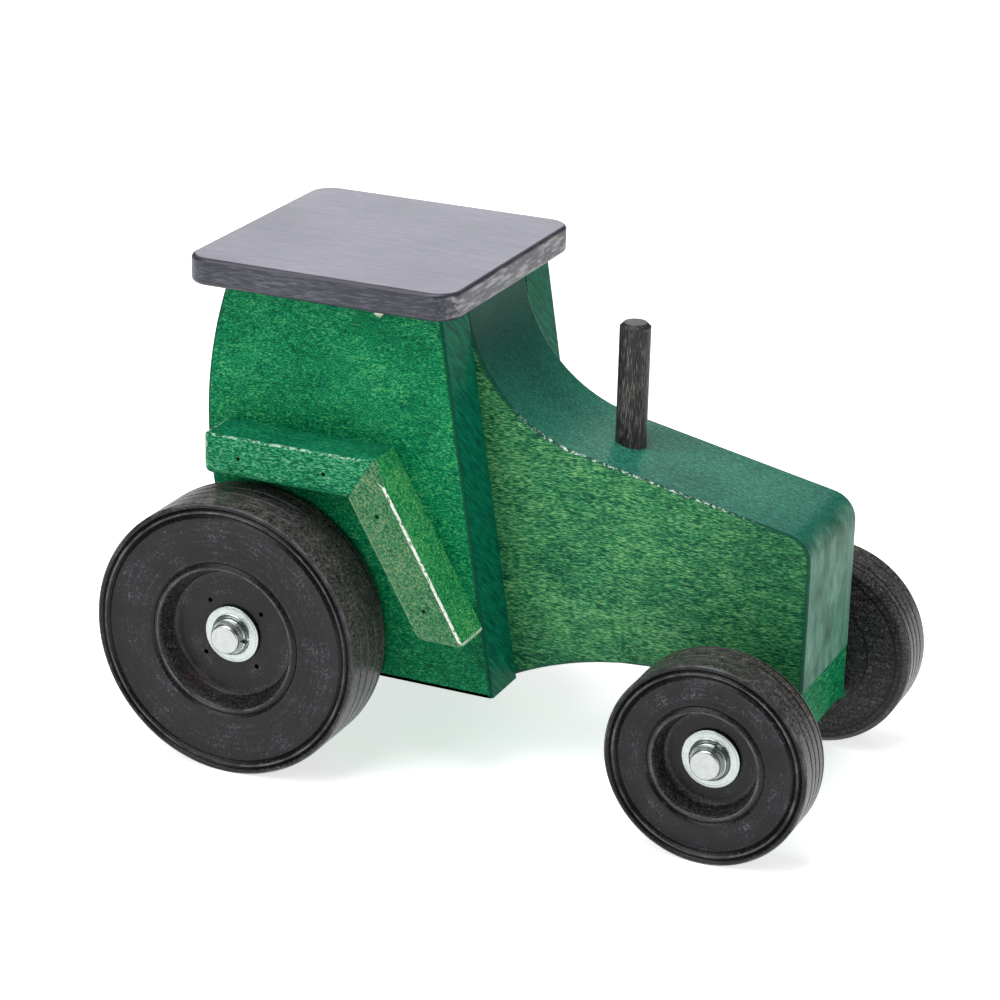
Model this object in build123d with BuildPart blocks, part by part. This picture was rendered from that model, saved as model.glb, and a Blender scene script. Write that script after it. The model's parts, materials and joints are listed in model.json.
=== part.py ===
from build123d import *
from math import cos, radians, sin, sqrt, tan
import os

# Toy farm tractor: stained wooden body, turned wooden wheels, two steel axles.
#
# +X points forward, +Y to the tractor's left, +Z up.  The origin is on the ground
# under the middle of the tractor's length.  Every size is in millimetres.

# ---- axles and wheels ------------------------------------------------------------
wheelbase = 161
axle_d = 10
axle_end_chamfer = 0.8
wheel_running_fit = 0.08        # radial clearance of a wheel on its axle
wheel_side_gap = 0.8            # between a wheel and the wood beside it
cap_gap = 0.3                   # between an axle cap and the wheel
rim_round = 1.2                 # rounded outer edge of a wheel
tread_chamfer = 1.8             # bevel on a wheel's inner edge
groove_w = 1.0                  # turned grooves, width at the surface
groove_depth = 0.5

rear_wheel_d = 92
rear_wheel_w = 25.5
rear_bead_r = 25.2              # the groove round the hub recess
rear_floor_r = 20.5             # flat floor of the hub recess
rear_recess = 7                 # depth of the hub recess
rear_tread_grooves = 4

front_wheel_d = 66
front_wheel_w = 18.5
front_bead_r = 18.6
front_floor_r = 14.8
front_recess = 7
front_tread_grooves = 4

pin_hole_d = 1.4                # four small holes round a rear hub
pin_hole_depth = 3
pin_hole_circle_r = 13
pin_hole_angle = 40             # degrees from forwards to the first hole

# ---- push-on axle caps -----------------------------------------------------------
cap_d = 19.2
cap_flange_t = 1.0
cap_collar_d = 14.5
cap_collar_h = 3.2              # collar height over the flange
cap_lip_t = 1.0                 # radial width of the lip that grips the axle
axle_stand_out = 5.2            # axle end beyond the cap's flange

# ---- body ------------------------------------------------------------------------
core_t = 45
panel_t = 19
sill_below_axle = 14            # rear axle centre down to the underside of the cab
cab_h = 124                     # underside of the cab to the underside of the roof
cab_rear_top = 12.6             # rear axle back to the panel's top rear corner
cab_rear_bottom = 13
cab_rear_bulge_r = 140          # the panel's rear edge is a long arc
cab_rear_widest_z = 112
cab_rear_arc_end_z = 90
cab_foot_round = 8
cab_front_top = 62              # rear axle forward to the panel's top front corner
cab_front_bottom = 82.5
core_rear_inset = 1.5           # the core's rear edge sits this far inside the panels
edge_ease = 1.2

hood_slope = 11.6               # degrees, falling towards the nose
hood_sweep_r = 50               # the hood curves up into the cab on this radius
nose_overhang = 18              # front axle forward to the nose
nose_h = 51                     # height of the nose before its top is rounded
nose_round = 9
belly_arch_r = 114
belly_arch_to_axle = 28         # the arch runs out this far behind the front axle

beam_depth = 25                 # along X
beam_h = 25                     # along Z
beam_half_w = 40.2
beam_over_axle = 12             # front axle centre up to the top of the beam

# ---- roof ------------------------------------------------------------------------
roof_l = 93
roof_w = 96
roof_t = 9
roof_rear_overhang = 12
roof_corner_r = 8

# ---- mudguards -------------------------------------------------------------------
guard_t = 14
guard_w = 16                    # how far a mudguard stands out from the panel
guard_over_wheel = 5.3          # wheel tread up to the level bar
guard_before_wheel = 13         # wheel tread forward to the sloping bar
guard_slope = 30                # degrees of the sloping bar from upright
guard_rear = 12.5               # rear axle back to the end of the level bar
guard_end_over_axle = 8         # the sloping bar ends this far above the rear axle
guard_ease = 1.8
brad_d = 1.4
brad_l = 22
brad_set = 1.5                  # brad heads are set this far below the surface
brad_from_end = 12.5

# ---- exhaust ---------------------------------------------------------------------
exhaust_d = 10
exhaust_stand = 40              # height over the hood
exhaust_socket = 15
exhaust_chamfer = 1.3
exhaust_to_front_axle = 51

# ---- hidden dowels ---------------------------------------------------------------
dowel_d = 8
dowel_fit = 0.05                # radial clearance of a glued dowel or axle in its hole
dowel_end_gap = 0.5
cross_dowel_in_panel = 10
roof_dowel_in_roof = 5
roof_dowel_in_core = 18
beam_dowel_in_beam = 5
beam_dowel_in_core = 14
beam_dowel_spacing = 24

# ---- places worked out from the sizes above --------------------------------------
sides = {"left": 1, "right": -1}
rear_r = rear_wheel_d / 2
front_r = front_wheel_d / 2
rear_x = rear_r - (rear_r + wheelbase + front_r) / 2
front_x = rear_x + wheelbase
sill_z = rear_r - sill_below_axle
cab_top_z = sill_z + cab_h
cab_half_w = core_t / 2 + panel_t
belly_z = front_r + beam_over_axle
nose_x = front_x + nose_overhang
nose_top_z = belly_z + nose_h
exhaust_x = front_x - exhaust_to_front_axle
fitted_dowel_r = dowel_d / 2 + dowel_fit
axle_hole_r = axle_d / 2 + dowel_fit
cross_dowels = [(rear_x + 8, sill_z + 88), (rear_x + 50, sill_z + 88), (rear_x + 30, sill_z + 40)]
roof_dowels = [(rear_x + 4, 0), (rear_x + 46, 0)]
beam_dowels = [(front_x, -beam_dowel_spacing / 2), (front_x, beam_dowel_spacing / 2)]

os.makedirs("parts", exist_ok=True)


def save(part, name):
    part.label = name
    export_step(part, f"parts/{name}.step")


def hood_z(x):
    return nose_top_z + (nose_x - x) * tan(radians(hood_slope))


def bore(x, z, radius, half_length):
    """Cut a level hole along Y through the part in hand, centred on the middle plane."""
    with BuildSketch(Plane.XZ) as hole:
        with Locations((x, z)):
            Circle(radius)
    extrude(hole.sketch, amount=half_length, both=True, mode=Mode.SUBTRACT)


def upright_holes(places, bottom_z, depth, radius):
    with BuildSketch(Plane.XY.offset(bottom_z)) as holes:
        with Locations(*places):
            Circle(radius)
    extrude(holes.sketch, amount=depth, mode=Mode.SUBTRACT)


# ---- core: hood, nose and the middle of the cab, sawn from one board --------------
# The hood line falls forwards.  Its sweep is tangent to it and meets the roof at the
# cab's top front corner, so the tangent point follows from that corner's distance.
down_hood = Vector(cos(radians(hood_slope)), -sin(radians(hood_slope)))
off_hood = Vector(sin(radians(hood_slope)), cos(radians(hood_slope)))
hood_end = Vector(nose_x, nose_top_z)
cab_corner = Vector(rear_x + cab_front_top, cab_top_z)
corner_over_hood = (cab_corner - hood_end).dot(off_hood)
sweep_run = sqrt(hood_sweep_r**2 - (hood_sweep_r - corner_over_hood) ** 2)
sweep_start = hood_end + down_hood * ((cab_corner - hood_end).dot(down_hood) + sweep_run)

arch_end_x = front_x - belly_arch_to_axle
arch_rise = belly_z - sill_z
arch_start_x = arch_end_x - sqrt(2 * belly_arch_r * arch_rise - arch_rise**2)


def cab_rear_x(z):
    widest = rear_x - cab_rear_top - cab_rear_bulge(cab_top_z)
    return widest + cab_rear_bulge(z)


def cab_rear_bulge(z):
    return cab_rear_bulge_r - sqrt(cab_rear_bulge_r**2 - (z - cab_rear_widest_z) ** 2)


def cab_rear_edge(inset):
    """The cab's rear edge from its top to its foot, as an arc and a gentle reverse curve."""
    top = (cab_rear_x(cab_top_z) + inset, cab_top_z)
    middle = (cab_rear_x(cab_rear_widest_z) + inset, cab_rear_widest_z)
    arc_end = (cab_rear_x(cab_rear_arc_end_z) + inset, cab_rear_arc_end_z)
    foot = (rear_x - cab_rear_bottom + inset, sill_z)
    bulge = ThreePointArc(top, middle, arc_end)
    TangentArc(arc_end, foot, tangent=bulge % 1)
    return top, foot


with BuildPart() as core:
    with BuildSketch(Plane.XZ) as core_outline:
        with BuildLine():
            rear_top, rear_foot = cab_rear_edge(core_rear_inset)
            Line(rear_foot, (arch_start_x, sill_z))
            arch_mid_x = (arch_start_x + arch_end_x) / 2
            arch_mid_z = belly_z - belly_arch_r + sqrt(belly_arch_r**2 - (arch_end_x - arch_mid_x) ** 2)
            ThreePointArc((arch_start_x, sill_z), (arch_mid_x, arch_mid_z), (arch_end_x, belly_z))
            Polyline((arch_end_x, belly_z), (nose_x, belly_z), (nose_x, nose_top_z), sweep_start)
            TangentArc(sweep_start, cab_corner, tangent=down_hood * -1)
            Line(cab_corner, rear_top)
        make_face()
        fillet(core_outline.vertices().sort_by_distance((nose_x, nose_top_z))[0], nose_round)
        fillet(core_outline.vertices().sort_by_distance(rear_foot)[0], cab_foot_round)
    extrude(amount=core_t / 2, both=True)
    hood_edges = core.faces().filter_by(Plane.XZ).edges().filter_by(lambda e: e.center().X > cab_corner.X)
    nose_foot = core.edges().filter_by(Axis.Y).sort_by_distance((nose_x, 0, belly_z))[0:1]
    fillet(hood_edges + nose_foot, edge_ease)
    bore(rear_x, rear_r, axle_hole_r, core_t)
    for x, z in cross_dowels:
        bore(x, z, fitted_dowel_r, core_t)
    socket_z = hood_z(exhaust_x) - exhaust_socket - dowel_end_gap
    upright_holes([(exhaust_x, 0)], socket_z, cab_h, exhaust_d / 2 + dowel_fit)
    roof_hole = roof_dowel_in_core + dowel_end_gap
    upright_holes(roof_dowels, cab_top_z - roof_hole, roof_hole, fitted_dowel_r)
    upright_holes(beam_dowels, belly_z, beam_dowel_in_core + dowel_end_gap, fitted_dowel_r)
save(core.part, "core")

# ---- cab side panels --------------------------------------------------------------
guard_slope_out = Vector(cos(radians(guard_slope)), sin(radians(guard_slope)))
level_bar_z = rear_wheel_d + guard_over_wheel
guard_end_z = rear_r + guard_end_over_axle


def sloping_bar_x(thickness, z):
    """X of a face of the sloping bar at a height; thickness 0 is the face towards the wheel."""
    reach = rear_r + guard_before_wheel + thickness
    return rear_x + (reach - (z - rear_r) * guard_slope_out.Y) / guard_slope_out.X


def brad_places():
    z = level_bar_z + guard_t / 2
    level_end_x = sloping_bar_x(guard_t / 2, z)
    along = Vector(guard_slope_out.Y, -guard_slope_out.X)
    slope_top = Vector(level_end_x, z)
    slope_foot = Vector(sloping_bar_x(guard_t / 2, guard_end_z), guard_end_z)
    level = [(rear_x - guard_rear + brad_from_end, z), (level_end_x - brad_from_end, z)]
    sloping = [slope_top + along * brad_from_end, slope_foot - along * brad_from_end]
    return level, [(p.X, p.Y) for p in sloping]


level_brads, sloping_brads = brad_places()
brad_tip_y = cab_half_w + guard_w - brad_set - brad_l


def brad_holes(places, side):
    with BuildSketch(Plane.XZ.offset(-side * (brad_tip_y - dowel_end_gap))) as holes:
        with Locations(*places):
            Circle(brad_d / 2 + dowel_fit)
    hole_l = brad_l + brad_set + 2 * dowel_end_gap
    extrude(holes.sketch, amount=-side * hole_l, mode=Mode.SUBTRACT)


for side_name, side in sides.items():
    with BuildPart() as panel:
        with BuildSketch(Plane.XZ.offset(-side * core_t / 2)) as panel_outline:
            with BuildLine():
                rear_top, rear_foot = cab_rear_edge(0)
                Polyline(rear_foot, (rear_x + cab_front_bottom, sill_z), cab_corner, rear_top)
            make_face()
            fillet(panel_outline.vertices().sort_by_distance(rear_foot)[0], cab_foot_round)
        extrude(amount=-side * panel_t)
        outer_face = panel.faces().sort_by(Axis.Y)[-1 if side > 0 else 0]
        under_roof = outer_face.edges().sort_by(Axis.Z)[-1]
        fillet(outer_face.edges() - ShapeList([under_roof]), edge_ease)
        bore(rear_x, rear_r, axle_hole_r, 2 * cab_half_w)
        for x, z in cross_dowels:
            bore(x, z, fitted_dowel_r, core_t / 2 + cross_dowel_in_panel + dowel_end_gap)
        brad_holes(level_brads + sloping_brads, side)
    save(panel.part, f"cab_panel_{side_name}")

# ---- mudguard bars: a level bar over the wheel and a sloping bar before it ---------
mitre_low = (sloping_bar_x(0, level_bar_z), level_bar_z)
mitre_high = (sloping_bar_x(guard_t, level_bar_z + guard_t), level_bar_z + guard_t)
guard_outlines = {
    "level": [
        (rear_x - guard_rear, level_bar_z),
        mitre_low,
        mitre_high,
        (rear_x - guard_rear, level_bar_z + guard_t),
    ],
    "sloping": [
        mitre_low,
        (sloping_bar_x(0, guard_end_z), guard_end_z),
        (sloping_bar_x(guard_t, guard_end_z), guard_end_z),
        mitre_high,
    ],
}
guard_brads = {"level": level_brads, "sloping": sloping_brads}

for side_name, side in sides.items():
    for bar_name, outline in guard_outlines.items():
        with BuildPart() as bar:
            with BuildSketch(Plane.XZ.offset(-side * cab_half_w)):
                with BuildLine():
                    Polyline(*outline, close=True)
                make_face()
            extrude(amount=-side * guard_w)
            outer_face = bar.faces().sort_by(Axis.Y)[-1 if side > 0 else 0]
            mitre_middle = (Vector(*mitre_low) + Vector(*mitre_high)) * 0.5
            outer_y = side * (cab_half_w + guard_w)
            by_mitre = outer_face.edges().sort_by_distance((mitre_middle.X, outer_y, mitre_middle.Y))
            fillet(by_mitre[1:], guard_ease)
            brad_holes(guard_brads[bar_name], side)
        save(bar.part, f"mudguard_{bar_name}_{side_name}")

with BuildPart() as brads:
    for side in sides.values():
        with BuildSketch(Plane.XZ.offset(-side * brad_tip_y)):
            with Locations(*level_brads, *sloping_brads):
                Circle(brad_d / 2)
        extrude(amount=-side * brad_l)
save(brads.part, "mudguard_brads")

# ---- roof -------------------------------------------------------------------------
with BuildPart() as roof:
    roof_middle_x = rear_x - cab_rear_top - roof_rear_overhang + roof_l / 2
    with BuildSketch(Plane.XY.offset(cab_top_z)):
        with Locations((roof_middle_x, 0)):
            RectangleRounded(roof_l, roof_w, roof_corner_r)
    extrude(amount=roof_t)
    fillet(roof.faces().filter_by(Axis.Z).edges(), edge_ease)
    upright_holes(roof_dowels, cab_top_z, roof_dowel_in_roof + dowel_end_gap, fitted_dowel_r)
save(roof.part, "roof")

# ---- exhaust ----------------------------------------------------------------------
with BuildPart() as exhaust:
    with BuildSketch(Plane.XY.offset(hood_z(exhaust_x) - exhaust_socket)):
        with Locations((exhaust_x, 0)):
            Circle(exhaust_d / 2)
    extrude(amount=exhaust_socket + exhaust_stand)
    chamfer(exhaust.faces().sort_by(Axis.Z)[-1].edges(), exhaust_chamfer)
save(exhaust.part, "exhaust")

# ---- front axle beam --------------------------------------------------------------
with BuildPart() as beam:
    with BuildSketch(Plane.XY.offset(belly_z - beam_h)):
        with Locations((front_x, 0)):
            Rectangle(beam_depth, 2 * beam_half_w)
    extrude(amount=beam_h)
    lower_edges = beam.faces().sort_by(Axis.Z)[0].edges()
    fillet(lower_edges + beam.edges().filter_by(Axis.Z), edge_ease)
    bore(front_x, front_r, axle_hole_r, 2 * beam_half_w)
    beam_hole = beam_dowel_in_beam + dowel_end_gap
    upright_holes(beam_dowels, belly_z - beam_hole, beam_hole, fitted_dowel_r)
save(beam.part, "front_axle_beam")

# ---- dowels inside the glued joints ------------------------------------------------
with BuildPart() as cross_dowel_set:
    with BuildSketch(Plane.XZ):
        with Locations(*cross_dowels):
            Circle(dowel_d / 2)
    extrude(amount=core_t / 2 + cross_dowel_in_panel, both=True)
save(cross_dowel_set.part, "panel_dowels")

with BuildPart() as roof_dowel_set:
    with BuildSketch(Plane.XY.offset(cab_top_z - roof_dowel_in_core)):
        with Locations(*roof_dowels):
            Circle(dowel_d / 2)
    extrude(amount=roof_dowel_in_core + roof_dowel_in_roof)
save(roof_dowel_set.part, "roof_dowels")

with BuildPart() as beam_dowel_set:
    with BuildSketch(Plane.XY.offset(belly_z - beam_dowel_in_beam)):
        with Locations(*beam_dowels):
            Circle(dowel_d / 2)
    extrude(amount=beam_dowel_in_beam + beam_dowel_in_core)
save(beam_dowel_set.part, "beam_dowels")


# ---- wheels, axles and caps --------------------------------------------------------
def turning_plane(x, y, z, side):
    """Local x is the radius (forwards), local y points outwards along the axle."""
    return Plane(origin=(x, side * y, z), x_dir=(1, 0, 0), z_dir=(0, 0, side))


def turned_wheel(lathe, d, w, bead_r, floor_r, recess, tread_grooves, pin_holes):
    """A wheel turned round local y, from its flat inner face to its recessed outer face."""
    r = d / 2
    bore_r = axle_d / 2 + wheel_running_fit
    spin_axis = Axis(lathe.origin, lathe.y_dir)
    with BuildPart() as wheel:
        with BuildSketch(lathe) as half:
            with BuildLine():
                Polyline(
                    (r, w),
                    (bead_r, w),
                    (floor_r, w - recess),
                    (bore_r, w - recess),
                    (bore_r, 0),
                    (r - tread_chamfer, 0),
                    (r, tread_chamfer),
                    (r, w),
                )
            make_face()
            fillet(half.vertices().sort_by_distance((r, w))[0], rim_round)
        revolve(axis=spin_axis)
        with BuildSketch(lathe):
            step = w / (tread_grooves + 1)
            for i in range(tread_grooves):
                y = step * (i + 1)
                with BuildLine():
                    Polyline(
                        (r + groove_depth, y - groove_w),
                        (r - groove_depth, y),
                        (r + groove_depth, y + groove_w),
                        close=True,
                    )
                make_face()
            for groove_r in (r - 2.1, r - 3.9, bead_r + groove_w):
                with BuildLine():
                    Polyline(
                        (groove_r - groove_w, w + groove_depth),
                        (groove_r, w - groove_depth),
                        (groove_r + groove_w, w + groove_depth),
                        close=True,
                    )
                make_face()
        revolve(axis=spin_axis, mode=Mode.SUBTRACT)
        if pin_holes:
            floor = Plane(
                origin=lathe.origin + lathe.y_dir * (w - recess),
                x_dir=lathe.x_dir,
                z_dir=lathe.y_dir,
            )
            with BuildSketch(floor):
                with PolarLocations(pin_hole_circle_r, pin_holes, start_angle=pin_hole_angle):
                    Circle(pin_hole_d / 2)
            extrude(amount=-pin_hole_depth, mode=Mode.SUBTRACT)
    return wheel.part


def axle_cap(lathe):
    """A push-on cap: a flat flange and a raised collar whose lip grips the axle."""
    axle_r = axle_d / 2
    collar_r = cap_collar_d / 2
    top_r = axle_r + cap_lip_t
    with BuildPart() as cap:
        with BuildSketch(lathe):
            with BuildLine():
                Polyline(
                    (axle_r + dowel_fit, 0),
                    (cap_d / 2, 0),
                    (cap_d / 2, cap_flange_t),
                    (collar_r, cap_flange_t),
                    (top_r, cap_flange_t + cap_collar_h),
                    (axle_r + dowel_fit, cap_flange_t + cap_collar_h),
                    close=True,
                )
            make_face()
        revolve(axis=Axis(lathe.origin, lathe.y_dir))
        fillet(cap.edges().filter_by(GeomType.CIRCLE).group_by(SortBy.RADIUS)[-1], cap_flange_t / 4)
    return cap.part


wheel_sets = {
    "rear": {
        "x": rear_x,
        "d": rear_wheel_d,
        "w": rear_wheel_w,
        "inner_y": cab_half_w + wheel_side_gap,
        "shape": (rear_bead_r, rear_floor_r, rear_recess, rear_tread_grooves, 4),
    },
    "front": {
        "x": front_x,
        "d": front_wheel_d,
        "w": front_wheel_w,
        "inner_y": beam_half_w + wheel_side_gap,
        "shape": (front_bead_r, front_floor_r, front_recess, front_tread_grooves, 0),
    },
}

for set_name, spec in wheel_sets.items():
    recess = spec["shape"][2]
    axle_z = spec["d"] / 2
    cap_y = spec["inner_y"] + spec["w"] - recess + cap_gap
    for side_name, side in sides.items():
        hub = turning_plane(spec["x"], spec["inner_y"], axle_z, side)
        save(turned_wheel(hub, spec["d"], spec["w"], *spec["shape"]), f"{set_name}_wheel_{side_name}")
        seat = turning_plane(spec["x"], cap_y, axle_z, side)
        save(axle_cap(seat), f"{set_name}_axle_cap_{side_name}")
    with BuildPart() as axle:
        with BuildSketch(Plane.XZ):
            with Locations((spec["x"], axle_z)):
                Circle(axle_d / 2)
        extrude(amount=cap_y + cap_flange_t + axle_stand_out, both=True)
        chamfer(axle.faces().filter_by(Axis.Y).edges(), axle_end_chamfer)
    save(axle.part, f"{set_name}_axle")
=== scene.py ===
import json
from math import asin, cos, pi, radians, sin, sqrt, tan

import bpy
from mathutils import Matrix, Vector


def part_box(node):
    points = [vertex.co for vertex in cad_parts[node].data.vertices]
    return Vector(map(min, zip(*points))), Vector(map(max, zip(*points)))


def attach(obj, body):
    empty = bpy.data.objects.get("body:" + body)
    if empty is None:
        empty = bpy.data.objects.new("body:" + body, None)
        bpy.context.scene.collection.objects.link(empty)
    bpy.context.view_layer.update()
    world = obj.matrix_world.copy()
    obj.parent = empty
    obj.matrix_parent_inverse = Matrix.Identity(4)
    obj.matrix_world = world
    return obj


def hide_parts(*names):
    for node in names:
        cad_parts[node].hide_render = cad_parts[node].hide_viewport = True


# Toy farm tractor in stained wood.  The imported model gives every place; the values below are the
# shapes that its boxes don't say.  +X points forward, +Y to the tractor's left, +Z up, in metres.
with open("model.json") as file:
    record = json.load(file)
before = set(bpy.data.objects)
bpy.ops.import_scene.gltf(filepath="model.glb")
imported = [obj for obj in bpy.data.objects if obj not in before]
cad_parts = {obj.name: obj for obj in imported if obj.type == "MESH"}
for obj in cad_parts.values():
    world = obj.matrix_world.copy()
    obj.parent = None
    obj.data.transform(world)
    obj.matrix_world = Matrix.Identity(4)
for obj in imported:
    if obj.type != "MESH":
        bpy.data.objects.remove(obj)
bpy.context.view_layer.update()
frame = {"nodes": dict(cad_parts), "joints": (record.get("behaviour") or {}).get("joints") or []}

MM = 0.001
HAIR = 0.05 * MM  # places nearer than this count as one
sides = {"left": 1, "right": -1}

hood_slope = radians(11.6)
hood_sweep_r = 50 * MM
nose_h = 51 * MM
nose_round = 9 * MM
belly_arch_r = 114 * MM
belly_arch_to_axle = 28 * MM
cab_front_top = 62 * MM
cab_rear_top = 12.6 * MM
cab_rear_bottom = 13 * MM
cab_bulge_r = 140 * MM
cab_widest_z = 112 * MM
cab_arc_end_z = 90 * MM
cab_foot_round = 8 * MM
core_rear_inset = 1.5 * MM
guard_t = 14 * MM
guard_slope = radians(30)
guard_round = 3.0 * MM
guard_sanding = 2.5 * MM
brad_hole_r = 0.75 * MM
pin_hole_r = 0.8 * MM
pin_circle_r = 13 * MM

# The wheels' shapes are in millimetres: the bead round the recess, the recess and its floor, the cuts
# across the tread (from the outer face), and the soft grooves in from the rim and out from the bead.
wheel_bore_r = 5.08
wheel_shapes = {
    "rear": {"bead_r": 25.2, "floor_r": 20.5, "recess": 7.0, "cuts": (21.8, 17.0, 11.5, 6.5)},
    "front": {"bead_r": 18.6, "floor_r": 14.8, "recess": 7.0, "cuts": (15.4, 12.0, 8.6, 5.2)},
}
rim_grooves = (2.0, 4.1)
bead_groove = 0.5
inner_face_span = (43.4, 44.6)  # off the tractor's middle, where a wheel's inner face gives way
outer_face_span = (48, 51)  # and where its outer face begins

axle = {}
for joint in frame["joints"]:
    end = joint["child"].split("_")[0]
    axle[end] = Vector((joint["pos_m"][0], 0, joint["pos_m"][2]))
rear_axle, front_axle = axle["rear"], axle["front"]

core_low, core_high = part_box("core")
sill_z, roof_seat_z = core_low.z, core_high.z
nose_x = core_high.x
core_half_t = core_high.y
beam_low, beam_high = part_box("front_axle_beam")
belly_z = beam_high.z


# ---- modelling helpers ----
def deselect():
    for thing in bpy.context.selected_objects:
        thing.select_set(False)


def take(piece):
    deselect()
    piece.select_set(True)
    bpy.context.view_layer.objects.active = piece


def started(name):
    """Name the primitive just added, and put its place into its mesh."""
    piece = bpy.context.object
    piece.name = piece.data.name = name
    bpy.ops.object.transform_apply(location=True, rotation=True, scale=True)
    return piece


def pick(piece, kind, test):
    """Select the vertices, edges or polygons that pass the test, and nothing else."""
    mesh = piece.data
    for group in (mesh.vertices, mesh.edges, mesh.polygons):
        for item in group:
            item.select = False
    for item in getattr(mesh, kind):
        item.select = test(item)


def pick_faces(piece, test):
    """In edit mode, select the faces whose centre and normal pass the test."""
    bpy.ops.mesh.select_mode(type="FACE")
    bpy.ops.object.mode_set(mode="OBJECT")
    pick(piece, "polygons", lambda face: test(face.center, face.normal))
    bpy.ops.object.mode_set(mode="EDIT")


def finish_with(piece, kind, **settings):
    take(piece)
    modifier = piece.modifiers.new(kind, kind)
    for key, value in settings.items():
        setattr(modifier, key, value)
    bpy.ops.object.modifier_apply(modifier=modifier.name)


def tidy_mesh(piece):
    take(piece)
    bpy.ops.object.mode_set(mode="EDIT")
    bpy.ops.mesh.select_all(action="SELECT")
    bpy.ops.mesh.remove_doubles(threshold=1e-6)
    bpy.ops.mesh.normals_make_consistent(inside=False)
    bpy.ops.object.mode_set(mode="OBJECT")


def smooth(piece, angle=35):
    take(piece)
    bpy.ops.object.shade_smooth_by_angle(angle=radians(angle))
    finish_with(piece, "WEIGHTED_NORMAL", weight=50, keep_sharp=True)


def opposite(piece, hub, name):
    """A copy for the tractor's other side, turned half round an upright line through the hub."""
    twin = piece.copy()
    twin.data = piece.data.copy()
    twin.name = twin.data.name = name
    bpy.context.scene.collection.objects.link(twin)
    to_hub, back = Matrix.Translation((-hub.x, 0, 0)), Matrix.Translation((hub.x, 0, 0))
    twin.data.transform(back @ Matrix.Rotation(pi, 4, "Z") @ to_hub)
    return twin


def seat(piece, body, nodes, material):
    """Finish a piece: its look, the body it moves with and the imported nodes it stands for."""
    piece.data.materials.clear()
    piece.data.materials.append(material)
    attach(piece, body)
    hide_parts(*nodes)


def stain_node(name, material):
    """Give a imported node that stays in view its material."""
    materials = frame["nodes"][name].data.materials
    materials.clear()
    materials.append(material)


def ladder(name, width_y, rungs):
    """A board sawn in profile: a level plane, drawn up or down by one extrusion a rung.

    A rung is (z, rear x, front x), and width_y is the pair of Y faces."""
    z, rear, front = rungs[0]
    mid_y = (width_y[0] + width_y[1]) / 2
    bpy.ops.mesh.primitive_plane_add(size=1, location=((rear + front) / 2, mid_y, z))
    bpy.context.object.scale = (front - rear, width_y[1] - width_y[0], 1)
    board = started(name)
    bpy.ops.object.mode_set(mode="EDIT")
    bpy.ops.mesh.select_all(action="SELECT")
    climb(rungs, mid_y)
    bpy.ops.object.mode_set(mode="OBJECT")
    tidy_mesh(board)
    return board


def climb(rungs, mid_y=0.0):
    """Extrude the chosen face from the first rung to each of the others."""
    for (z0, rear0, front0), (z1, rear1, front1) in zip(rungs, rungs[1:]):
        mid0, mid1 = (rear0 + front0) / 2, (rear1 + front1) / 2
        step = {"value": (mid1 - mid0, 0, z1 - z0)}
        bpy.ops.mesh.extrude_region_move(TRANSFORM_OT_translate=step)
        stretch = (front1 - rear1) / (front0 - rear0)
        bpy.ops.transform.resize(value=(stretch, 1, 1), center_override=(mid1, mid_y, z1))


def ease_edges(piece, width, weight_of, segments=4):
    """Round the sharp edges by the share of the width that weight_of(middle, direction) gives,
    and mark the rounds' own vertices in the attribute 'eased'."""
    mesh = piece.data
    weights = mesh.attributes.new("bevel_weight_edge", "FLOAT", "EDGE")
    normals = {}
    for face in mesh.polygons:
        for key in face.edge_keys:
            normals.setdefault(key, []).append(face.normal.copy())
    for edge in mesh.edges:
        a, b = (mesh.vertices[i].co for i in edge.vertices)
        meeting = normals.get(edge.key, [])
        sharp = len(meeting) == 2 and meeting[0].angle(meeting[1]) > radians(35)
        weights.data[edge.index].value = weight_of((a + b) / 2, (b - a).normalized()) if sharp else 0
    for _ in range(2 - len(mesh.materials)):
        mesh.materials.append(None)
    finish_with(piece, "BEVEL", width=width, segments=segments, limit_method="WEIGHT", material=1,
                use_clamp_overlap=False)
    mark_rounds(mesh)


def mark_rounds(mesh, flush=0.5):
    """'eased' is 0 where a round runs out flush with a flat face, and 1 on the rest of the round."""
    rounded, flat = {}, set()
    for face in mesh.polygons:
        if face.material_index == 1:
            for index in face.vertices:
                rounded.setdefault(index, []).append(face.normal)
    for face in mesh.polygons:
        if face.material_index == 0:
            for index in face.vertices:
                if any(face.normal.angle(normal) < flush for normal in rounded.get(index, [])):
                    flat.add(index)
    eased = mesh.attributes.new("eased", "FLOAT", "POINT")
    for vertex in mesh.vertices:
        on_round = vertex.index in rounded and vertex.index not in flat
        eased.data[vertex.index].value = float(on_round)
    for face in mesh.polygons:
        face.material_index = 0


def drill(piece, places, radius, depth_y, sides=16):
    """Cut small level holes along Y; each place is (x, z) and depth_y the pair of Y ends."""
    length = abs(depth_y[1] - depth_y[0])
    for x, z in places:
        at = (x, (depth_y[0] + depth_y[1]) / 2, z)
        deselect()
        bpy.ops.mesh.primitive_cylinder_add(
            vertices=sides, radius=radius, depth=length, location=at, rotation=(pi / 2, 0, 0)
        )
        bit = started("bit")
        finish_with(piece, "BOOLEAN", operation="DIFFERENCE", solver="EXACT", object=bit)
        bpy.data.objects.remove(bit)


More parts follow.
